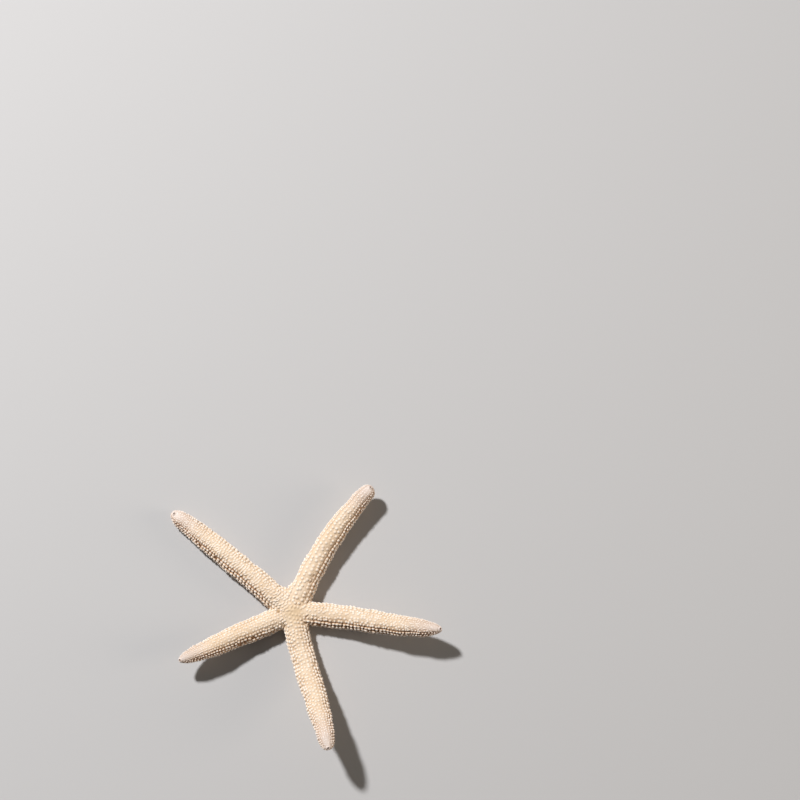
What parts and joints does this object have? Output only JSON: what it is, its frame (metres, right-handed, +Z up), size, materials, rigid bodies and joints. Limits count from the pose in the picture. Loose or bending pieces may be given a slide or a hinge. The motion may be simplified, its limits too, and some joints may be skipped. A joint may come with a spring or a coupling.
{
  "type": "finger starfish",
  "caption": "Dried, bleached finger starfish lying mouth down, slender arms covered in rounded plates, tips curled up; a still natural history model.",
  "frame": {"origin": "centre of the bounding box on the surface that the starfish lies on", "axes": "+Z up, away from the surface and out of the upper side; +Y towards the top of the picture and +X towards its right"},
  "size_m": [0.1058, 0.103, 0.0206],
  "materials": {
    "disc": "matte",
    "arm": "matte",
    "terminal_plate": "matte",
    "sieve_plate": "matte"
  },
  "bodies": {
    "root": {"disc": "disc", "sieve_plate": "sieve_plate", "arm_upper_right": "arm", "arm_right": "arm", "arm_bottom": "arm", "arm_lower_left": "arm", "arm_upper_left": "arm", "terminal_plate_upper_right": "terminal_plate", "terminal_plate_right": "terminal_plate", "terminal_plate_bottom": "terminal_plate", "terminal_plate_lower_left": "terminal_plate", "terminal_plate_upper_left": "terminal_plate"}
  },
  "joints": []
}
